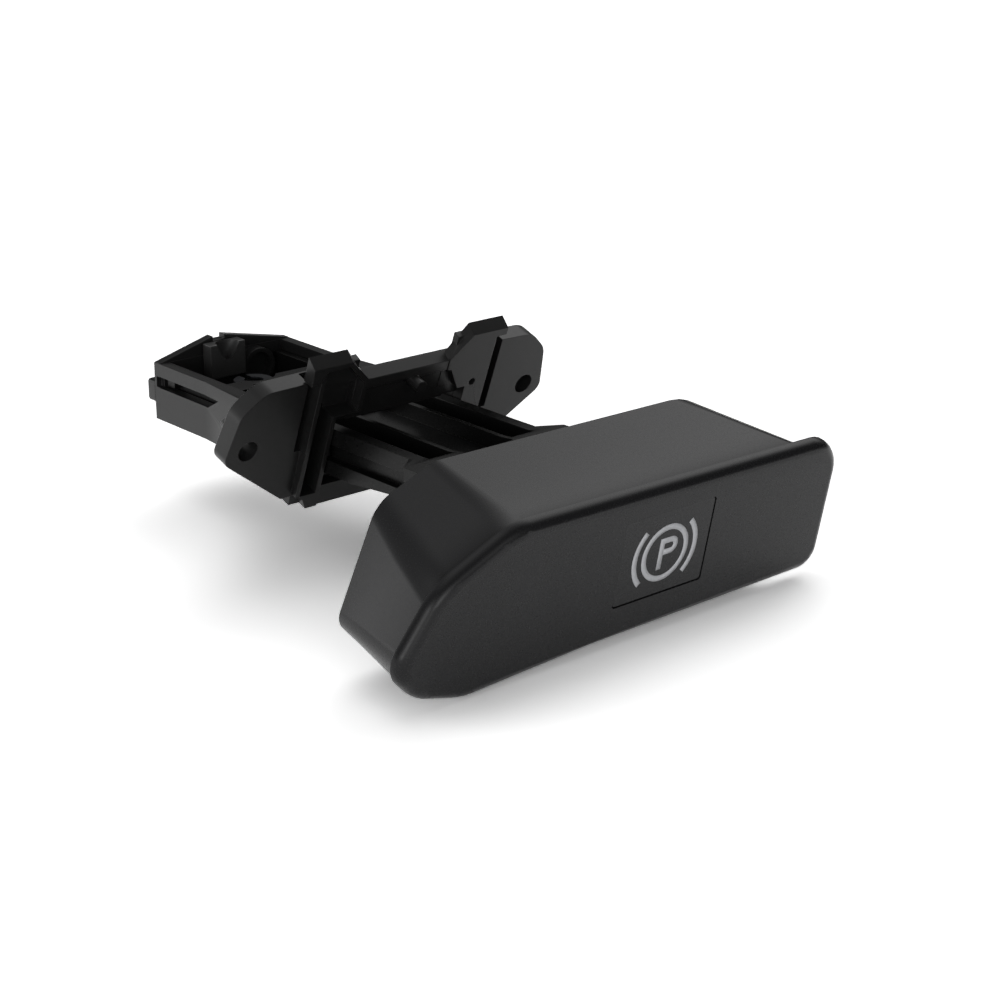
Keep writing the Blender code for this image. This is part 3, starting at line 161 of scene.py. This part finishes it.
# Nearly all of a noise lies between these values
NOISE_SPAN = {"From Min": 0.3, "From Max": 0.7}


def linear(hex_colour):
    """An sRGB hex colour as linear red, green, blue and alpha."""
    text = hex_colour.lstrip("#")
    channels = []
    for start in (0, 2, 4):
        value = int(text[start:start + 2], 16) / 255.0
        channels.append(value / 12.92 if value <= 0.04045 else ((value + 0.055) / 1.055) ** 2.4)
    return (*channels, 1.0)


def pattern_scale(size_mm):
    """The Scale that gives a pattern its real size in millimetres."""
    return 1000.0 / size_mm


def add_node(tree, kind, settings=None, links=None):
    """Adds a shader node, sets its sockets or properties, and links other nodes' outputs to its inputs."""
    node = tree.nodes.new(kind)
    for key, value in (settings or {}).items():
        if isinstance(key, int) or key in node.inputs:
            node.inputs[key].default_value = value
        else:
            setattr(node, key, value)
    for key, source in (links or {}).items():
        tree.links.new(source, node.inputs[key])
    return node


def new_material(name):
    """An empty material and its node tree."""
    made = bpy.data.materials.new(name)
    made.use_nodes = True
    made.node_tree.nodes.clear()
    return made, made.node_tree


def flared_normal(tree, place, under):
    """The normal of a body that flares up to its lip, so that it mirrors a dark band behind the lip."""
    depth = add_node(tree, "ShaderNodeVectorMath", {"operation": "DOT_PRODUCT", 1: FACE_INWARD}, {0: place})
    start = FACE_ORIGIN.dot(FACE_INWARD) + FLARE_START
    behind = add_node(tree, "ShaderNodeMath", {"operation": "SUBTRACT", 1: start},
                      {0: depth.outputs["Value"]})
    inside = add_node(tree, "ShaderNodeMath", {"operation": "MAXIMUM", 1: 0.0},
                      {0: behind.outputs["Value"]})
    spent = add_node(tree, "ShaderNodeMath", {"operation": "MULTIPLY", 1: -1.0 / FLARE_LENGTH},
                     {0: inside.outputs["Value"]})
    fading = add_node(tree, "ShaderNodeMath", {"operation": "EXPONENT"}, {0: spent.outputs["Value"]})
    normal = add_node(tree, "ShaderNodeNewGeometry").outputs["Normal"]
    facing = add_node(tree, "ShaderNodeSeparateXYZ", {}, {0: normal})
    on_top = add_node(tree, "ShaderNodeMapRange", {"From Min": FLARE_FROM_UP, "From Max": FLARE_FULL_UP},
                      {"Value": facing.outputs["Z"]})
    bump = add_node(tree, "ShaderNodeBump", {"Distance": FLARE_HEIGHT},
                    {"Strength": on_top.outputs["Result"], "Height": fading.outputs["Value"],
                     "Normal": under})
    return bump.outputs["Normal"]


def moulded_surface(name, hex_colour, roughness, specular, grain_mm, grain_depth_mm, flares=False):
    """A moulded surface: clouds from the flow of the melt, a shallow swell and the grain of the tool.

    A real grain of a tenth of a millimetre is too fine to show, so it is drawn about four times as coarse.
    The specular level is matched to the photograph, where the grain takes the edge off every reflection.
    """
    cloud_mm, cloud_tint = 20.0, 0.08
    swell_mm, swell_depth_mm = 14.0, 0.06
    polish_spread = 0.03
    made, tree = new_material(name)
    place = add_node(tree, "ShaderNodeTexCoord").outputs["Object"]
    clouds = add_node(tree, "ShaderNodeTexNoise",
                      {"Scale": pattern_scale(cloud_mm), "Detail": 3.0, "Roughness": 0.55},
                      {"Vector": place})
    tint = add_node(tree, "ShaderNodeMapRange",
                    {**NOISE_SPAN, "To Min": 1.0 - cloud_tint, "To Max": 1.0 + cloud_tint},
                    {"Value": clouds.outputs["Fac"]})
    tinted = add_node(tree, "ShaderNodeVectorMath", {"operation": "SCALE", 0: linear(hex_colour)[:3]},
                      {"Scale": tint.outputs["Result"]})
    swell = add_node(tree, "ShaderNodeTexNoise", {"Scale": pattern_scale(swell_mm), "Detail": 1.0},
                     {"Vector": place})
    under = add_node(tree, "ShaderNodeBump", {"Strength": 0.25, "Distance": swell_depth_mm / 1000.0},
                     {"Height": swell.outputs["Fac"]}).outputs["Normal"]
    if flares:
        under = flared_normal(tree, place, under)
    grain = add_node(tree, "ShaderNodeTexNoise",
                     {"Scale": pattern_scale(grain_mm), "Detail": 2.0, "Roughness": 0.6}, {"Vector": place})
    bump = add_node(tree, "ShaderNodeBump", {"Strength": 0.6, "Distance": grain_depth_mm / 1000.0},
                    {"Height": grain.outputs["Fac"], "Normal": under})
    polish = add_node(tree, "ShaderNodeMapRange",
                      {**NOISE_SPAN, "To Min": roughness - polish_spread,
                       "To Max": roughness + polish_spread},
                      {"Value": grain.outputs["Fac"]})
    shader = add_node(tree, "ShaderNodeBsdfPrincipled",
                      {"IOR": 1.5, "Specular IOR Level": specular, "Metallic": 0.0},
                      {"Base Color": tinted.outputs["Vector"], "Roughness": polish.outputs["Result"],
                       "Normal": bump.outputs["Normal"]})
    add_node(tree, "ShaderNodeOutputMaterial", {}, {"Surface": shader.outputs["BSDF"]})
    return made


def satin_grained_abs(hex_colour):
    """Moulded ABS from a fine spark-eroded tool: the head's satin black, with soft bands of light."""
    return moulded_surface("satin_grained_abs", hex_colour, roughness=0.26, specular=0.18,
                           grain_mm=0.40, grain_depth_mm=0.0015, flares=True)


def fine_grained_abs_tile(hex_colour):
    """Moulded ABS from a finer tool: the tile's black, next to the head's and even all over."""
    return moulded_surface("fine_grained_abs_tile", hex_colour, roughness=0.26, specular=0.19,
                           grain_mm=0.35, grain_depth_mm=0.0015)


def moulded_glass_filled_nylon(hex_colour):
    """Moulded nylon, roughened by glass fibres: the bracket's duller black, with wide grey highlights."""
    return moulded_surface("moulded_glass_filled_nylon", hex_colour, roughness=0.32, specular=0.23,
                           grain_mm=0.45, grain_depth_mm=0.006)


def polypropylene_painted_lighter(hex_colour):
    """Moulded polypropylene: the cable funnel's waxy dark grey, painted lighter than the box: painted light
    on its lead-in.
    """
    return moulded_surface("polypropylene_painted_lighter", hex_colour, roughness=0.34, specular=0.35,
                           grain_mm=0.45, grain_depth_mm=0.006)


def moulded_acetal(hex_colour):
    """Moulded acetal: the stem's deepest black, smooth enough to slide, with a thin even sheen."""
    return moulded_surface("moulded_acetal", hex_colour, roughness=0.30, specular=0.15,
                           grain_mm=0.45, grain_depth_mm=0.005)


def black_nitrile_rubber(hex_colour):
    """Moulded nitrile rubber: the buffers' matt black, which mirrors nearly nothing."""
    return moulded_surface("black_nitrile_rubber", hex_colour, roughness=0.72, specular=0.20,
                           grain_mm=0.5, grain_depth_mm=0.01)


def plated_steel(name, hex_colour, roughness):
    """Coated steel: a grey metal whose coating clouds its colour, its polish and its surface alike."""
    haze_mm, haze_depth_mm = 1.2, 0.02
    darkest, lightest = 0.82, 1.12
    smoother, rougher = 0.08, 0.10
    made, tree = new_material(name)
    place = add_node(tree, "ShaderNodeTexCoord").outputs["Object"]
    haze = add_node(tree, "ShaderNodeTexNoise",
                    {"Scale": pattern_scale(haze_mm), "Detail": 4.0, "Roughness": 0.6}, {"Vector": place})
    polish = add_node(tree, "ShaderNodeMapRange",
                      {"To Min": roughness - smoother, "To Max": roughness + rougher},
                      {"Value": haze.outputs["Fac"]})
    tint = add_node(tree, "ShaderNodeMapRange", {"To Min": darkest, "To Max": lightest},
                    {"Value": haze.outputs["Fac"]})
    tinted = add_node(tree, "ShaderNodeVectorMath", {"operation": "SCALE", 0: linear(hex_colour)[:3]},
                      {"Scale": tint.outputs["Result"]})
    bump = add_node(tree, "ShaderNodeBump", {"Strength": 0.3, "Distance": haze_depth_mm / 1000.0},
                    {"Height": haze.outputs["Fac"]})
    shader = add_node(tree, "ShaderNodeBsdfPrincipled", {"Metallic": 1.0},
                      {"Base Color": tinted.outputs["Vector"], "Roughness": polish.outputs["Result"],
                       "Normal": bump.outputs["Normal"]})
    add_node(tree, "ShaderNodeOutputMaterial", {}, {"Surface": shader.outputs["BSDF"]})
    return made


def zinc_plated_steel(hex_colour):
    """Zinc-plated steel: the spring's and the screws' cool light grey, bright but softly hazed."""
    return plated_steel("zinc_plated_steel", hex_colour, roughness=0.32)


def phosphated_steel(hex_colour):
    """Phosphated steel: the nipple clip's dark grey, dulled by fine crystals, with a dim metal sheen."""
    return plated_steel("phosphated_steel", hex_colour, roughness=0.55)


def pad_printed_grey_ink(hex_colour):
    """Pad-printed ink: a flat light grey film, matt, and a little uneven where the pad left less of it."""
    cover_mm, cover_depth_mm = 0.4, 0.01
    thinnest, fullest = 0.93, 1.05
    made, tree = new_material("pad_printed_grey_ink")
    place = add_node(tree, "ShaderNodeTexCoord").outputs["Object"]
    cover = add_node(tree, "ShaderNodeTexNoise", {"Scale": pattern_scale(cover_mm), "Detail": 3.0},
                     {"Vector": place})
    tint = add_node(tree, "ShaderNodeMapRange", {**NOISE_SPAN, "To Min": thinnest, "To Max": fullest},
                    {"Value": cover.outputs["Fac"]})
    tinted = add_node(tree, "ShaderNodeVectorMath", {"operation": "SCALE", 0: linear(hex_colour)[:3]},
                      {"Scale": tint.outputs["Result"]})
    bump = add_node(tree, "ShaderNodeBump", {"Strength": 0.2, "Distance": cover_depth_mm / 1000.0},
                    {"Height": cover.outputs["Fac"]})
    shader = add_node(tree, "ShaderNodeBsdfPrincipled", {"IOR": 1.48, "Roughness": 0.55},
                      {"Base Color": tinted.outputs["Vector"], "Normal": bump.outputs["Normal"]})
    add_node(tree, "ShaderNodeOutputMaterial", {}, {"Surface": shader.outputs["BSDF"]})
    return made


def select_only(piece):
    """Selects one object and makes it active."""
    bpy.ops.object.select_all(action="DESELECT")
    piece.select_set(True)
    bpy.context.view_layer.objects.active = piece


def dressed_copy(node, name, material, edge=0.0, smoothing=MOULDING_SMOOTHING):
    """A copy of a model node that stands for it, with its sharp edges rounded as on the real piece."""
    source = frame["nodes"][node]
    piece = bpy.data.objects.new(name, source.data.copy())
    bpy.context.scene.collection.objects.link(piece)
    select_only(piece)
    # The model's own normals don't fit its merged faces
    bpy.ops.mesh.customdata_custom_splitnormals_clear()
    bpy.ops.object.mode_set(mode="EDIT")
    bpy.ops.mesh.select_all(action="SELECT")
    bpy.ops.mesh.remove_doubles(threshold=MERGE_DISTANCE)
    bpy.ops.mesh.dissolve_limited(angle_limit=FLAT_ANGLE)
    # A rounded edge would close the rim of a concave face, so such a face is split
    bpy.ops.mesh.vert_connect_concave()
    bpy.ops.object.mode_set(mode="OBJECT")
    if edge > 0.0:
        rounding = piece.modifiers.new("Rounded edges", "BEVEL")
        rounding.width = edge
        rounding.segments = EDGE_SEGMENTS
        rounding.limit_method = "ANGLE"
        rounding.angle_limit = SHARP_ANGLE
        rounding.use_clamp_overlap = False
        rounding.miter_outer = "MITER_ARC"
        bpy.ops.object.modifier_apply(modifier=rounding.name)
    bpy.ops.object.shade_smooth_by_angle(angle=smoothing)
    flat = piece.modifiers.new("Flat faces stay flat", "WEIGHTED_NORMAL")
    flat.mode = "FACE_AREA"
    flat.weight = 100
    flat.keep_sharp = True
    bpy.ops.object.modifier_apply(modifier=flat.name)
    piece.data.materials.clear()
    piece.data.materials.append(material)
    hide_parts(node)
    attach(piece, frame["nodes"][node]["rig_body"])
    return piece


def fit_tile(tile, shift, growth):
    """Moves and widens the tile in its pocket, so that its joint shows only to its right and below it."""
    spots = [FACE_PLACE.inverted() @ vert.co for vert in tile.data.vertices]
    left, right = min(spot.x for spot in spots), max(spot.x for spot in spots)
    bottom, top = min(spot.z for spot in spots), max(spot.z for spot in spots)
    for vert, spot in zip(tile.data.vertices, spots):
        spot.x -= shift + growth * (right - spot.x) / (right - left)
        spot.z += shift + growth * (spot.z - bottom) / (top - bottom)
        vert.co = FACE_PLACE @ spot


def arc_points(radius, first, last, steps, centre=(0.0, 0.0)):
    """Points of an arc, its angles in degrees."""
    points = []
    for step in range(steps + 1):
        angle = math.radians(first + (last - first) * step / steps)
        points.append((centre[0] + radius * math.cos(angle), centre[1] + radius * math.sin(angle)))
    return points


def letter_points(width):
    """The letter P as one line: up its stem, round its bowl and back to the stem at the waist."""
    bowl = (LETTER_TOP - LETTER_WAIST) / 2.0
    points = [(LETTER_STEM_X, LETTER_FOOT), (LETTER_STEM_X, LETTER_TOP), (LETTER_BOWL_X, LETTER_TOP)]
    points += arc_points(bowl, 90.0, -90.0, BOWL_STEPS, (LETTER_BOWL_X, LETTER_WAIST + bowl))[1:]
    points.append((LETTER_STEM_X + width / 2.0, LETTER_WAIST))
    return points


def stroke(name, points, cyclic, width):
    """A flat printed line of one width along points in the face's plane."""
    data = bpy.data.curves.new(name, "CURVE")
    data.dimensions = "2D"
    data.fill_mode = "NONE"
    data.extrude = INK_THICKNESS / 2.0
    line = data.splines.new("POLY")
    line.points.add(len(points) - 1)
    for spot, (x, y) in zip(line.points, points):
        spot.co = (x, y, 0.0, 1.0)
    line.use_cyclic_u = cyclic
    piece = bpy.data.objects.new(name, data)
    bpy.context.scene.collection.objects.link(piece)
    select_only(piece)
    bpy.ops.object.convert(target="MESH")
    piece = bpy.context.view_layer.objects.active
    bpy.ops.object.mode_set(mode="EDIT")
    bpy.ops.mesh.select_all(action="SELECT")
    bpy.ops.mesh.remove_doubles(threshold=POINT_MERGE)
    bpy.ops.object.mode_set(mode="OBJECT")
    wall = piece.modifiers.new("Line width", "SOLIDIFY")
    wall.thickness = width
    wall.offset = 0.0
    wall.use_even_offset = True
    bpy.ops.object.modifier_apply(modifier=wall.name)
    bpy.ops.object.mode_set(mode="EDIT")
    bpy.ops.mesh.select_all(action="SELECT")
    bpy.ops.mesh.normals_make_consistent(inside=False)
    bpy.ops.object.mode_set(mode="OBJECT")
    return piece


def lay_floor(hex_colour):
    """A pale floor that keeps the part's shadow. It is white where it is looked at or mirrored."""
    bpy.ops.mesh.primitive_plane_add(size=FLOOR_SIZE, location=(0.0, 0.0, 0.0))
    floor = bpy.context.view_layer.objects.active
    floor.name = "studio_floor"
    floor.data.transform(Matrix.Translation((0.0, 0.0, CAD_LOW.z - FLOOR_GAP)))
    made, tree = new_material("pale_studio_floor")
    path = add_node(tree, "ShaderNodeLightPath")
    looked_at = add_node(tree, "ShaderNodeMath", {"operation": "MAXIMUM"},
                         {0: path.outputs["Is Camera Ray"], 1: path.outputs["Is Glossy Ray"]})
    looked_at = add_node(tree, "ShaderNodeMath", {"operation": "MAXIMUM"},
                         {0: looked_at.outputs["Value"], 1: path.outputs["Is Transmission Ray"]})
    tone = add_node(tree, "ShaderNodeMix", {"data_type": "RGBA", 6: linear(hex_colour), 7: FLOOR_SEEN},
                    {0: looked_at.outputs["Value"]})
    matt = add_node(tree, "ShaderNodeBsdfDiffuse", {}, {"Color": tone.outputs[2]})
    add_node(tree, "ShaderNodeOutputMaterial", {}, {"Surface": matt.outputs["BSDF"]})
    floor.data.materials.append(made)


def heading(elevation, azimuth):
    """The direction of an elevation and an azimuth in degrees, from the handle outwards."""
    up, around = math.radians(elevation), math.radians(azimuth)
    return Vector((math.cos(up) * math.sin(around), -math.cos(up) * math.cos(around), math.sin(up)))


def light_room(scene):
    """A dark world with soft patches of light, each brightest at its heading, and a white background."""
    world = bpy.data.worlds.new("studio_world")
    world.use_nodes = True
    tree = world.node_tree
    tree.nodes.clear()
    direction = add_node(tree, "ShaderNodeTexCoord").outputs["Generated"]
    glow = add_node(tree, "ShaderNodeValue").outputs["Value"]
    glow.default_value = ROOM_GLOW
    for elevation, azimuth, brightness in LIGHT_PATCHES:
        near = add_node(tree, "ShaderNodeVectorMath",
                        {"operation": "DOT_PRODUCT", 1: heading(elevation, azimuth)}, {0: direction})
        fall = add_node(tree, "ShaderNodeMath",
                        {"operation": "MULTIPLY_ADD", 1: PATCH_TIGHTNESS, 2: -PATCH_TIGHTNESS},
                        {0: near.outputs["Value"]})
        patch = add_node(tree, "ShaderNodeMath", {"operation": "EXPONENT"}, {0: fall.outputs["Value"]})
        glow = add_node(tree, "ShaderNodeMath", {"operation": "MULTIPLY_ADD", 1: brightness},
                        {0: patch.outputs["Value"], 2: glow}).outputs["Value"]
    # The black plastic mirrors the patches, so glossy rays see them here and not the white background
    path = add_node(tree, "ShaderNodeLightPath")
    looked_at = add_node(tree, "ShaderNodeMath", {"operation": "MAXIMUM"},
                         {0: path.outputs["Is Camera Ray"], 1: path.outputs["Is Transmission Ray"]})
    tone = add_node(tree, "ShaderNodeMix", {"data_type": "FLOAT", 3: 1.0},
                    {0: looked_at.outputs["Value"], 2: glow})
    sky = add_node(tree, "ShaderNodeBackground", {"Color": (1.0, 1.0, 1.0, 1.0)},
                   {"Strength": tone.outputs[0]})
    add_node(tree, "ShaderNodeOutputWorld", {}, {"Surface": sky.outputs["Background"]})
    scene.world = world


def place_camera(scene):
    """A camera at the photograph's place, angle and focal length."""
    right = Vector((math.cos(CAMERA_AZIMUTH), math.sin(CAMERA_AZIMUTH), 0.0))
    back = Vector((
        math.sin(CAMERA_AZIMUTH) * math.cos(CAMERA_ELEVATION),
        -math.cos(CAMERA_AZIMUTH) * math.cos(CAMERA_ELEVATION),
        math.sin(CAMERA_ELEVATION),
    ))
    up = back.cross(right)
    rolled_right = math.cos(CAMERA_ROLL) * right + math.sin(CAMERA_ROLL) * up
    rolled_up = -math.sin(CAMERA_ROLL) * right + math.cos(CAMERA_ROLL) * up
    data = bpy.data.cameras.new("photograph_camera")
    data.sensor_width = 36.0
    data.sensor_fit = "HORIZONTAL"
    data.lens = CAMERA_FOCAL_PIXELS / FRAME_PIXELS * data.sensor_width
    data.clip_start = 0.01
    data.clip_end = 50.0
    camera = bpy.data.objects.new("photograph_camera", data)
    turn = Matrix((rolled_right, rolled_up, back)).transposed().to_4x4()
    camera.matrix_world = Matrix.Translation(CAMERA_PLACE) @ turn
    scene.collection.objects.link(camera)
    scene.camera = camera


class HandleSizes(bpy.types.PropertyGroup):
    mould_edge: FloatProperty(
        name="Mould edge", description="Radius of the moulded edges",
        default=0.00012, min=0.0, max=0.001, unit="LENGTH")
    metal_edge: FloatProperty(
        name="Metal edge", description="Radius of the edges of the screws and the clip",
        default=0.00012, min=0.0, max=0.001, unit="LENGTH")
    tile_edge: FloatProperty(
        name="Tile edge", description="Radius of the tile's rim",
        default=0.00002, min=0.0, max=0.001, unit="LENGTH")
    tile_shift: FloatProperty(
        name="Tile shift", description="How far the tile sits to the left and up in its pocket",
        default=0.00012, min=0.0, max=0.0002, unit="LENGTH")
    tile_growth: FloatProperty(
        name="Tile growth", description="How much the tile is widened, to close its left and top joints",
        default=0.00017, min=0.0, max=0.0003, unit="LENGTH")
    symbol_x: FloatProperty(
        name="Symbol place", description="Middle of the symbol across the face",
        default=0.0096, unit="LENGTH")
    ring_radius: FloatProperty(
        name="Ring radius", description="Radius of the symbol's ring, to the middle of its line",
        default=0.00542, unit="LENGTH")
    shoe_radius: FloatProperty(
        name="Shoe radius", description="Radius of the two side arcs, to the middle of their line",
        default=0.00785, unit="LENGTH")
    line_width: FloatProperty(
        name="Line width", description="Width of the symbol's printed lines",
        default=0.00118, unit="LENGTH")


class HandleColours(bpy.types.PropertyGroup):
    head: StringProperty(
        name="Head", description="Satin plastic of the head, as sRGB hex", default="#19191A")
    bracket: StringProperty(
        name="Bracket", description="Moulded plastic of the bracket, as sRGB hex", default="#181818")
    funnel: StringProperty(
        # The funnel's grey is painted lighter than the bracket's, as painted light on its lead-in
        name="Funnel", description="Moulded plastic of the cable funnel, as sRGB hex", default="#2A2A2A")
    stem: StringProperty(
        name="Stem", description="Moulded plastic of the stem, as sRGB hex", default="#0D0D0D")
    tile: StringProperty(
        name="Tile", description="Plastic of the symbol tile, as sRGB hex", default="#1B1B1C")
    ink: StringProperty(
        name="Ink", description="Printed symbol, as sRGB hex", default="#B0B1B4")
    steel: StringProperty(
        name="Steel", description="Plated spring and screws, as sRGB hex", default="#8C8F92")
    clip: StringProperty(
        name="Clip", description="Phosphated nipple clip, as sRGB hex", default="#26272A")
    rubber: StringProperty(
        name="Rubber", description="Rest buffers, as sRGB hex", default="#121212")
    floor: StringProperty(
        name="Floor", description="Pale studio floor, as sRGB hex", default="#E9E9E9")


class HANDLE_OT_bracket(bpy.types.Operator):
    """Dresses the moulded bracket and the cable funnel in its rear wall"""
    bl_idname = "handle.bracket"
    bl_label = "Bracket"

    def execute(self, context):
        sizes = context.scene.handle_sizes
        colours = context.scene.handle_colours
        nylon = moulded_glass_filled_nylon(colours.bracket)
        bracket = dressed_copy("bracket", "bracket_moulding", nylon, sizes.mould_edge)
        # The funnel's colour is painted lighter than the box around it, as painted light on its lead-in
        painted_light_plastic = polypropylene_painted_lighter(colours.funnel)
        funnel = dressed_copy("cable_funnel", "cable_funnel_moulding", painted_light_plastic)
        return {"FINISHED"}


class HANDLE_OT_slider(bpy.types.Operator):
    """Dresses the sliding stem"""
    bl_idname = "handle.slider"
    bl_label = "Slider"

    def execute(self, context):
        sizes = context.scene.handle_sizes
        colours = context.scene.handle_colours
        acetal = moulded_acetal(colours.stem)
        slider = dressed_copy("slider", "slider_moulding", acetal, sizes.mould_edge)
        return {"FINISHED"}


class HANDLE_OT_head(bpy.types.Operator):
    """Dresses the hollow head of the handle"""
    bl_idname = "handle.head"
    bl_label = "Head"

    def execute(self, context):
        colours = context.scene.handle_colours
        plastic = satin_grained_abs(colours.head)
        head = dressed_copy("grip", "grip_moulding", plastic, smoothing=HEAD_SMOOTHING)
        return {"FINISHED"}


class HANDLE_OT_symbol(bpy.types.Operator):
    """Dresses the flush tile and prints the standard parking brake pictogram on it"""
    bl_idname = "handle.symbol"
    bl_label = "Symbol tile"

    def execute(self, context):
        sizes = context.scene.handle_sizes
        colours = context.scene.handle_colours
        plastic = fine_grained_abs_tile(colours.tile)
        tile = dressed_copy("symbol_tile", "symbol_tile_moulding", plastic, sizes.tile_edge)
        fit_tile(tile, sizes.tile_shift, sizes.tile_growth)

        width = sizes.line_width
        ring = stroke("ring", arc_points(sizes.ring_radius, 0.0, 360.0, RING_STEPS)[:-1], True, width)
        others = []
        for name, middle in (("left_shoe", 180.0), ("right_shoe", 0.0)):
            first, last = middle - SHOE_HALF_ANGLE, middle + SHOE_HALF_ANGLE
            arc = arc_points(sizes.shoe_radius, first, last, SHOE_STEPS)
            others.append(stroke(name, arc, False, width))
        others.append(stroke("letter", letter_points(width), False, width))
        select_only(ring)
        for line in others:
            line.select_set(True)
        bpy.ops.object.join()
        symbol = bpy.context.view_layer.objects.active
        symbol.name = "printed_symbol"
        on_face = Matrix.Translation((sizes.symbol_x, INK_SUNK - INK_THICKNESS / 2.0, 0.0))
        upright = Matrix.Rotation(math.radians(90.0), 4, "X")
        symbol.data.transform(FACE_PLACE @ on_face @ upright)
        symbol.data.materials.clear()
        symbol.data.materials.append(pad_printed_grey_ink(colours.ink))
        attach(symbol, "pull_side")
        return {"FINISHED"}


class HANDLE_OT_hardware(bpy.types.Operator):
    """Dresses the return spring, the head's screws, the nipple clip and the rest buffers"""
    bl_idname = "handle.hardware"
    bl_label = "Hardware"

    def execute(self, context):
        sizes = context.scene.handle_sizes
        colours = context.scene.handle_colours
        zinc = zinc_plated_steel(colours.steel)
        dark = phosphated_steel(colours.clip)
        rubber = black_nitrile_rubber(colours.rubber)
        for node, metal in (("stem_screw_left", zinc), ("stem_screw_right", zinc), ("nipple_clip", dark)):
            piece = dressed_copy(node, node + "_plated", metal, sizes.metal_edge)
        coil = dressed_copy("return_spring", "return_spring_wire", zinc, smoothing=COIL_SMOOTHING)
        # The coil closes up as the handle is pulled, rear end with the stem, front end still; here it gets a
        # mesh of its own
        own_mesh(coil)
        for node in ("rest_buffer_left", "rest_buffer_right"):
            piece = dressed_copy(node, node + "_rubber", rubber)
        return {"FINISHED"}


class HANDLE_OT_stage(bpy.types.Operator):
    """Sets the floor, the studio's light and the photograph's camera"""
    bl_idname = "handle.stage"
    bl_label = "Stage"

    def execute(self, context):
        scene = context.scene
        lay_floor(scene.handle_colours.floor)
        light_room(scene)
        place_camera(scene)
        scene.view_settings.view_transform = "Standard"
        return {"FINISHED"}


class HANDLE_PT_panel(bpy.types.Panel):
    """Lists the handle's pieces, sizes and colours"""
    bl_idname = "HANDLE_PT_panel"
    bl_label = "Parking Brake Release Handle"
    bl_space_type = "VIEW_3D"
    bl_region_type = "UI"
    bl_category = "Handle"

    def draw(self, context):
        layout = self.layout
        for name in OPERATORS:
            layout.operator("handle." + name)
        for group in (context.scene.handle_sizes, context.scene.handle_colours):
            for prop in group.bl_rna.properties:
                if prop.identifier not in ("rna_type", "name"):
                    layout.prop(group, prop.identifier)


OPERATORS = ("bracket", "slider", "head", "symbol", "hardware", "stage")
CLASSES = (
    HandleSizes,
    HandleColours,
    HANDLE_OT_bracket,
    HANDLE_OT_slider,
    HANDLE_OT_head,
    HANDLE_OT_symbol,
    HANDLE_OT_hardware,
    HANDLE_OT_stage,
    HANDLE_PT_panel,
)


def register():
    for made in CLASSES:
        bpy.utils.register_class(made)
    bpy.types.Scene.handle_sizes = PointerProperty(type=HandleSizes)
    bpy.types.Scene.handle_colours = PointerProperty(type=HandleColours)


def unregister():
    del bpy.types.Scene.handle_colours
    del bpy.types.Scene.handle_sizes
    for made in reversed(CLASSES):
        bpy.utils.unregister_class(made)


def main():
    register()
    for name in OPERATORS:
        getattr(bpy.ops.handle, name)()


if __name__ == "__main__":
    main()
